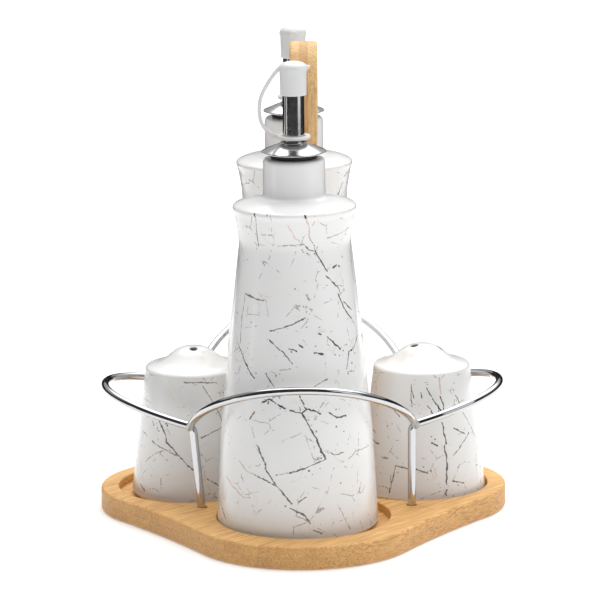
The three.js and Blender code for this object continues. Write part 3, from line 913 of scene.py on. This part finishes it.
def handle_face(inset):
    """The board's face in (y, z): a straight foot, a swelling grip and a round top."""
    foot = HANDLE["foot_half_width"] - inset
    grip = HANDLE["grip_half_width"] - inset
    neck_z = HANDLE["neck_z"]
    grip_z = HANDLE["grip_z"]
    rise = HANDLE["top"] - grip_z - inset
    middle = (neck_z + grip_z) / 2
    right = [Vector((foot, HANDLE["foot_z"]))]
    right += bezier([(foot, neck_z), (foot, middle), (grip, middle), (grip, grip_z)], 24)
    for k in range(33):
        a = math.pi / 2 * k / 32
        right.append(Vector((grip * math.cos(a), grip_z + rise * math.sin(a))))
    left = [Vector((-p.x, p.y)) for p in reversed(right[:-1])]
    return right + left


def make_handle(look):
    """A board with rounded edges that thickens towards its grip."""
    half = HANDLE["foot_half_thick"]
    curve = fillet_curve(HANDLE["fillet"], 5)
    layers = [(thin - half, inset) for thin, inset in curve]
    layers += [(half - thin, inset) for thin, inset in reversed(curve)]
    rings = [[(x, p.x, p.y) for p in handle_face(inset)] for x, inset in layers]
    board = loft("handle_blade", rings)
    # The faces are sliced crosswise so that they can follow the thickening.
    mesh = bmesh.new()
    mesh.from_mesh(board.data)
    height = HANDLE["neck_z"] - HANDLE["slice"]
    while height < HANDLE["top"]:
        everything = mesh.verts[:] + mesh.edges[:] + mesh.faces[:]
        bmesh.ops.bisect_plane(mesh, geom=everything, plane_co=(0, 0, height * MM), plane_no=UP)
        height += HANDLE["slice"]
    thicken = HANDLE["grip_half_thick"] / half - 1
    for vertex in mesh.verts:
        t = (vertex.co.z / MM - HANDLE["neck_z"]) / (HANDLE["grip_z"] - HANDLE["neck_z"])
        t = max(0.0, min(1.0, t))
        vertex.co.x *= 1 + thicken * t * t * (3 - 2 * t)
        vertex.co.x += HANDLE["x"] * MM
    bmesh.ops.recalc_face_normals(mesh, faces=mesh.faces[:])
    mesh.to_mesh(board.data)
    mesh.free()
    place_piece(board, look, "stand", "handle_board")


def make_screw(side, sign, look):
    """A countersunk wood screw with a cross recess and a turned thread."""
    sunk = SCREW["sunk"]
    profile = [(0, sunk), (3.3, sunk), (3.6, sunk + 0.3), (1.7, sunk + 2.2), (1.7, 9)]
    pitch = SCREW["pitch"]
    z = 9.0
    while z < SCREW["length"] - SCREW["tip"]:
        profile += [(1.25, z + 0.3), (1.25, z + pitch * 0.6), (1.7, z + pitch)]
        z += pitch
    profile += [(1.1, z + 0.5), (0, SCREW["length"])]
    screw = lathe(f"wood_screw_{side}", profile, Vector((HANDLE["x"], sign * SCREW["y"], 0)), 40)
    for long, wide in ((2.0, 0.4), (0.4, 2.0)):
        slot = [(-long, -wide), (long, -wide), (long, wide), (-long, wide)]
        rings = []
        for z, taper in ((-1.0, 1.0), (sunk + 1.4, 0.55)):
            middle = Vector((HANDLE["x"], sign * SCREW["y"], z))
            rings.append([middle + Vector((x * taper, y * taper, 0)) for x, y in slot])
        combine(screw, loft("cutter", rings), "DIFFERENCE")
    place_piece(screw, look, "stand", f"handle_screw_{side}")


# ---- Rail ----

def side_wire_path(side, sign):
    """Up one post, round the side loop and down the other post."""
    loop = Vector(WIRE["loop"])
    top = Vector(WIRE["top"])
    corner = Vector(WIRE["corner"])
    foot = Vector((abs(POST_FEET[side]), *WIRE["foot"]))
    pull_x = (4 * WIRE["loop_reach"] - loop.x) / 3
    pull = Vector((pull_x, WIRE["loop_pull"], loop.z + WIRE["loop_rise"] * 4 / 3))
    near = [Vector((sign * p.x, -p.y, p.z)) for p in (foot, top, corner, loop, pull)]
    far = [Vector((p.x, -p.y, p.z)) for p in near]
    path = bezier(near[:2], 24)
    path += bezier([near[1], near[2], near[3]], 16)
    path += bezier([near[3], near[4], far[4], far[3]], 150)
    path += bezier([far[3], far[2], far[1]], 16)
    path += bezier([far[1], far[0]], 24)
    return [*path, far[0]]


def arc_path(side, sign):
    """From bend to bend in front of a bottle, welded inside the side wires."""
    end = Vector(WIRE["arc_end"])
    pull_x = WIRE["arc_pull"][side]
    pull_y = (4 * WIRE["arc_reach"] - end.y) / 3
    pull_z = end.z + WIRE["arc_rise"][side] * 4 / 3
    right = Vector((end.x, sign * end.y, end.z))
    right_pull = Vector((pull_x, sign * pull_y, pull_z))
    left_pull, left = [Vector((-p.x, p.y, p.z)) for p in (right_pull, right)]
    return [*bezier([left, left_pull, right_pull, right], 150), right]


def weld_swell(length, total):
    """An arc's wire thickens a little into its welds."""
    return 1 + 0.22 * math.exp(-((min(length, total - length) / 3.2) ** 2))


def make_rail(look):
    section = arc(0, 0, WIRE["radius"], 0, 2 * math.pi, 24)
    for side, sign in (("left", -1), ("right", 1)):
        wire = sweep(f"rail_wire_{side}", side_wire_path(side, sign), section)
        place_piece(wire, look, "stand", f"rail_{side}_wire")
    for side, sign in (("front", -1), ("rear", 1)):
        wire = sweep(f"rail_arc_wire_{side}", arc_path(side, sign), section, grow=weld_swell)
        place_piece(wire, look, "stand", f"rail_{side}_arc")


# ---- Oil bottle ----

def make_bottle(side, axis, look):
    """A hollow tapering body that flares to a rim, with a sloping shoulder and a short neck."""
    flare = [(39.3, 2.2), (36, 55.6), (30.4, 102.3), (26.9, 136), (28.4, 152), (29.7, BOTTLE_RIM)]
    shoulder = [
        (29.7, BOTTLE_RIM), (29.62, 157.7), (29.2, 158.3), (28.2, 158.9), (25.6, 159.9),
        (21.5, 161.0), (17.0, 161.9), (15.2, 163.2), (14.9, 165.6),
    ]
    inside = [(24.5, 150), (23.3, 136), (26.8, 102.3), (32.4, 55.6), (35.4, 9)]
    profile = [(0, 1.2), (30, 1.2, 0.5), (31.2, 0, 0.6), (37.4, 0, 1.2), (39.3, 2.2)]
    profile += spline(flare, 12)[1:-1]
    profile += spline(shoulder, 6)
    top = BOTTLE_NECK_TOP
    profile += [(14.9, 170), (14.9, top, 2.6), (9.8, top, 0.9), (9.8, 160)]
    profile += spline([(12, 156), (19, 153.5), *inside], 5)
    profile += [(33, 6), (28, 5), (0, 5)]
    bottle = lathe(f"bottle_shell_{side}", profile, axis, 144)
    place_piece(bottle, look, f"bottle_{side}", f"oil_bottle_{side}")


# ---- Pourer ----

def stopper_outline():
    """A plug with three ribs below a flat head. Its bore holds the spout."""
    outline = [(5.4, -24)]
    for k in range(3):
        z = -24 + 8 * k
        outline += [(8.0, z, 0.2), (9.4, z + 2, 0.5), (8.0, z + 3, 0.3)]
    return outline + [(8.0, 0.25, 0.2), (11.3, 0.25, 0.5), (11.3, 2.5, 0.5), (5.4, 2.5)]


def flange_outline():
    """A thin saucer turned upside down, with a rolled edge and a collar round the spout."""
    top = spline([(15.0, 3.5), (12.6, 4.6), (10, 5.75), (7.4, 6.8), (6.4, 7.2)], 5)
    edge = [(14.9, 2.75), (15.35, 2.75), (15.5, 3.1), (15.35, 3.4)]
    collar = [(6.1, 7.5), (5.95, 8.1), (5.4, 8.2)]
    under = [(5.4, 6.4), (7.2, 6.0), (9.8, 5.0), (12.4, 3.9)]
    return under + edge + top + collar


def make_pourer(side, neck, turn, plug_look, steel):
    """The turned pieces: a stopper, a flange, a spout, and an air pipe beside the spout's wall."""
    spout = [(4.6, -22), (5.2, -22), (5.2, 42, 0.2), (4.6, 42, 0.2)]
    air_pipe = [(0.6, -48), (1.2, -48), (1.2, 40), (0.6, 40)]
    beside = Vector((math.cos(turn), math.sin(turn), 0)) * -2.7
    looks = {"dark_stopper": plug_look, "spout_steel": steel}
    pieces = (
        ("stopper", "stopper_plug", "dark_stopper", stopper_outline(), neck, 72),
        ("spout_flange", "flange_dish", "spout_steel", flange_outline(), neck, 128),
        ("spout_tube", "spout_pipe", "spout_steel", spout, neck, 72),
        ("breather_tube", "air_pipe", "spout_steel", air_pipe, neck + beside, 24),
    )
    for node, name, slot, outline, place, segments in pieces:
        ring = lathe(f"{name}_{side}", outline, place, segments, closed=True)
        place_piece(ring, looks[slot], f"pourer_{side}", f"{node}_{side}")


def make_cap(side, neck, turn, look):
    """A cup with a slightly wider domed head, and a small thumb tab."""
    bore = [(0, 44.7), (5.5, 44.7, 0.4), (5.5, 30.3, 0.1)]
    skirt = [(6.25, 30.3, 0.35), (6.45, 41.2), (6.85, 42.0)]
    head = [(6.8, 43.4), (6.4, 44.5), (5.3, 45.45), (3.6, 46.1), (1.8, 46.42), (0, 46.5)]
    cup = lathe(f"cap_cup_{side}", bore + skirt + spline(head, 4), neck)
    tab = rounded([(5.8, -1.9), (8.0, -1.9, 1.0), (8.0, 1.9, 1.0), (5.8, 1.9)], steps=6)
    spin = Matrix.Rotation(turn, 3, "Z")
    rings = []
    for z, shrink in ((42.9, 0.85), (43.2, 1.0), (44.0, 1.0), (44.4, 0.85)):
        middle = Vector((6.6, 0))
        ring = [middle + (Vector(p) - middle) * shrink for p in tab]
        rings.append([neck + spin @ Vector((p.x, p.y, z)) for p in ring])
    combine(cup, loft("tab", rings), "UNION")
    place_piece(cup, look, f"cap_{side}", f"spout_cap_{side}")


def make_tether(side, neck, turn, look):
    """A ring on the spout and a flat strap that bows out and up to the cap."""
    inner = TETHER_RING["inner"]
    outer = TETHER_RING["outer"]
    low = TETHER_RING["low"]
    high = low + TETHER_RING["thick"]
    outline = [(inner, low, 0.3), (outer, low, 0.6), (outer, high, 0.6), (inner, high, 0.3)]
    ring = lathe(f"tether_strap_{side}", outline, Vector((0, 0, 0)), closed=True)
    route = [
        (-6.3, 43.4), (-8.3, 41.2), (-10.8, 37.8), (-13.1, 34.2), (-14.9, 30.6), (-16.0, 26.8),
        (-16.3, 22.4), (-15.6, 17.8), (-13.6, 14.2), (-10.8, 11.6), (-7.6, 10.2),
    ]
    path = [(x, 0, z) for x, z in spline(route, 6)]
    corners = [(-0.85, -1.3, 0.5), (0.85, -1.3, 0.5), (0.85, 1.3, 0.5), (-0.85, 1.3, 0.5)]
    section = rounded(corners, closed=True, steps=3)
    strap = sweep("strap", path, section, side=(1, 0, 0))
    combine(ring, strap, "UNION")
    ring.data.transform(Matrix.Rotation(turn, 4, "Z"))
    ring.data.transform(Matrix.Translation(neck * MM))
    place_piece(ring, look, None, f"cap_tether_{side}")
    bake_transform(ring)


# ---- Shaker ----

def make_shaker(side, axis, look):
    """A hollow taper with a domed top and pouring holes, filled from below."""
    fill_hole = [(12, 4), (12, 1, 0.4)]
    foot = [(25.8, 1, 0.6), (27, 0, 0.6), (30.4, 0, 1.0), (31.8, 2.4)]
    rim = [
        (24.2, SHAKER_RIM), (24.0, 64.5), (23.2, 65.3), (21.6, 65.9), (18.4, 66.7), (15.6, 68.0),
        (12.5, 70.2), (9.6, 72.5), (6.2, 74.2), (3.0, 74.9), (0, 75.0),
    ]
    under_dome = [(0, 72.0), (5.5, 71.1), (9.0, 69.1), (13, 65.9), (17.5, 63.8), (20.4, 61.5)]
    inner_wall = [(28.4, 6.5), (26.5, 4.6)]
    profile = under_dome + inner_wall + fill_hole + foot + spline(rim, 6)
    shaker = lathe(f"shaker_shell_{side}", profile, axis, 128)
    for x, y in SHAKER_HOLES[side]:
        outline = [(0, 60), (2.1, 60), (2.1, 90), (0, 90)]
        combine(shaker, lathe("cutter", outline, axis + Vector((x, y, 0)), 40), "DIFFERENCE")
    place_piece(shaker, look, f"shaker_{side}", f"shaker_{side}")


def make_fill_plug(side, axis, look):
    """A soft disc with a dished underside and a lip that snaps over the hole's inner edge."""
    underside = [(0, 1.6), (7, 1.6, 0.5), (8, 0.5, 0.5), (11.7, 0.5, 0.5)]
    lip = [(11.7, 4.3), (12.6, 4.8, 0.3), (11.1, 5.8, 0.4), (0, 5.8)]
    plug = lathe(f"fill_plug_{side}", underside + lip, axis, 72)
    place_piece(plug, look, f"shaker_{side}", f"shaker_plug_{side}")


# ---- Studio ----

def make_floor():
    corners = [(-1, -1), (1, -1), (1, 1), (-1, 1)]
    vertices = [(x * FLOOR_REACH, y * FLOOR_REACH, -FLOOR_DROP) for x, y in corners]
    floor = new_object("floor", vertices, [(0, 1, 2, 3)])
    look = Look("white floor")
    shade = look.noise(400.0, 1.0)
    look.set(base_color=look.mix(shade, (0.83, 0.83, 0.83), (0.85, 0.85, 0.85)), roughness=0.9)
    look.set(emission_color=(1, 1, 1, 1), emission_strength=FLOOR_GLOW)
    floor.data.materials.append(look.material)


def make_cards():
    """Upright curved cards that only reflections show."""
    for number, (start, end, height, shade) in enumerate(CARDS):
        look = Look(f"card {number}")
        cloud = look.noise(90.0)
        look.set(base_color=look.mix(cloud, (0.8 * shade,) * 3, (1.2 * shade,) * 3), roughness=0.9)
        steps = (end - start) // 5
        vertices = []
        for k in range(steps + 1):
            a = math.radians(start + (end - start) * k / steps)
            foot = Vector((CARD_RADIUS * math.sin(a), -CARD_RADIUS * math.cos(a), 0))
            vertices += [foot, foot + UP * height]
        faces = [(2 * k, 2 * k + 2, 2 * k + 3, 2 * k + 1) for k in range(steps)]
        card = new_object(f"card_{number}", vertices, faces)
        card.data.materials.append(look.material)
        card.visible_camera = False
        card.visible_diffuse = False
        card.visible_shadow = False


def softbox(name, place, size, power, mirrored=True):
    """A large area light aimed at the middle of the set. mirrored lets reflections show it."""
    data = bpy.data.lights.new(name, "AREA")
    data.shape = "RECTANGLE"
    data.size, data.size_y = size
    data.energy = power
    lamp = bpy.data.objects.new(name, data)
    lamp.visible_glossy = mirrored
    bpy.context.scene.collection.objects.link(lamp)
    lamp.location = place
    aim = Vector((0, 0, 0.1)) - Vector(place)
    lamp.rotation_mode = "QUATERNION"
    lamp.rotation_quaternion = aim.to_track_quat("-Z", "Y")


def make_world():
    """A room that is dark round the camera, with a large soft light a little behind the top."""
    world = bpy.data.worlds.new("studio")
    world.use_nodes = True
    bpy.context.scene.world = world
    tree = world.node_tree
    direction = tree.nodes.new("ShaderNodeTexCoord").outputs["Generated"]
    total = tree.nodes.new("ShaderNodeMath")
    total.operation = "ADD"
    zones = (
        ((0, 1, 0.2), (-0.1, 0.8, FRONT_LIGHT, BACK_LIGHT)),
        ((0.12, 0.34, 0.93), (0.7, 0.88, 0.0, OVERHEAD_LIGHT)),
    )
    for socket, (aim, levels) in zip(total.inputs, zones):
        closeness = tree.nodes.new("ShaderNodeVectorMath")
        closeness.operation = "DOT_PRODUCT"
        closeness.inputs[1].default_value = Vector(aim).normalized()
        tree.links.new(direction, closeness.inputs[0])
        ramp = tree.nodes.new("ShaderNodeMapRange")
        ramp.interpolation_type = "SMOOTHSTEP"
        for number, value in zip(ramp.inputs[1:], levels):
            number.default_value = value
        tree.links.new(closeness.outputs["Value"], ramp.inputs[0])
        tree.links.new(ramp.outputs[0], socket)
    background = tree.nodes["Background"]
    tree.links.new(total.outputs[0], background.inputs["Strength"])
    background.inputs["Color"].default_value = (1, 1, 1, 1)


def make_camera():
    data = bpy.data.cameras.new("camera")
    data.lens = CAMERA["lens"]
    data.sensor_width = 36
    data.clip_end = 100
    camera = bpy.data.objects.new("camera", data)
    bpy.context.scene.collection.objects.link(camera)
    pitch = math.radians(CAMERA["pitch"])
    back = Vector((0, -math.cos(pitch), math.sin(pitch)))
    spot = (Vector(CAMERA["target"]) + back * CAMERA["distance"]) * MM
    tilt = Matrix.Rotation(math.pi / 2 - pitch, 4, "X")
    roll = Matrix.Rotation(-math.radians(CAMERA["roll"]), 4, "Z")
    camera.matrix_world = Matrix.Translation(spot) @ tilt @ roll
    bpy.context.scene.camera = camera


# ---- Everything together ----

make_camera()
make_world()
make_floor()
make_cards()
softbox("right light", (1.3, -0.8, 0.6), (1.0, 1.4), power=4)
softbox("front fill", (0.1, -1.5, 1.5), (1.6, 1.2), power=6.5, mirrored=False)
softbox("top fill", (0, 0.1, 2.2), (1.6, 1.6), power=12, mirrored=False)
bpy.context.scene.view_settings.view_transform = "Standard"

chrome_look = chrome()
white_plastic = plastic("white plastic", (0.75, 0.755, 0.755), roughness=0.38, soft=0.15)
dark_plug = plastic("dark plug", (0.03, 0.03, 0.032), roughness=0.5, soft=0.0)
zinc = turned_steel("zinc plate", (HANDLE["x"], 0, 0), roughness=0.35)

make_tray(tray_bamboo())
make_handle(handle_bamboo())
make_screw("front", -1, zinc)
make_screw("rear", 1, zinc)
make_rail(chrome_look)

for side, spout_turn, print_turn in (("front", 0.0, 0.0), ("rear", -math.pi / 2, 128.0)):
    axis = foot_of(f"oil_bottle_{side}")
    neck = axis + UP * BOTTLE_NECK_TOP
    steel = turned_steel(f"spout steel {side}", axis, roughness=0.12)
    look = glaze(f"bottle glaze {side}", axis, BOTTLE_STROKES, **BOTTLE_PRINT, turn=print_turn)
    make_bottle(side, axis, look)
    make_pourer(side, neck, spout_turn, dark_plug, steel)
    make_cap(side, neck, spout_turn, white_plastic)
    make_tether(side, neck, spout_turn, white_plastic)

for side, strokes in (("left", LEFT_SHAKER_STROKES), ("right", RIGHT_SHAKER_STROKES)):
    axis = foot_of(f"shaker_{side}")
    look = glaze(f"shaker glaze {side}", axis, strokes, **SHAKER_PRINT, hollow=shaker_inside_shade)
    make_shaker(side, axis, look)
    make_fill_plug(side, axis, white_plastic)
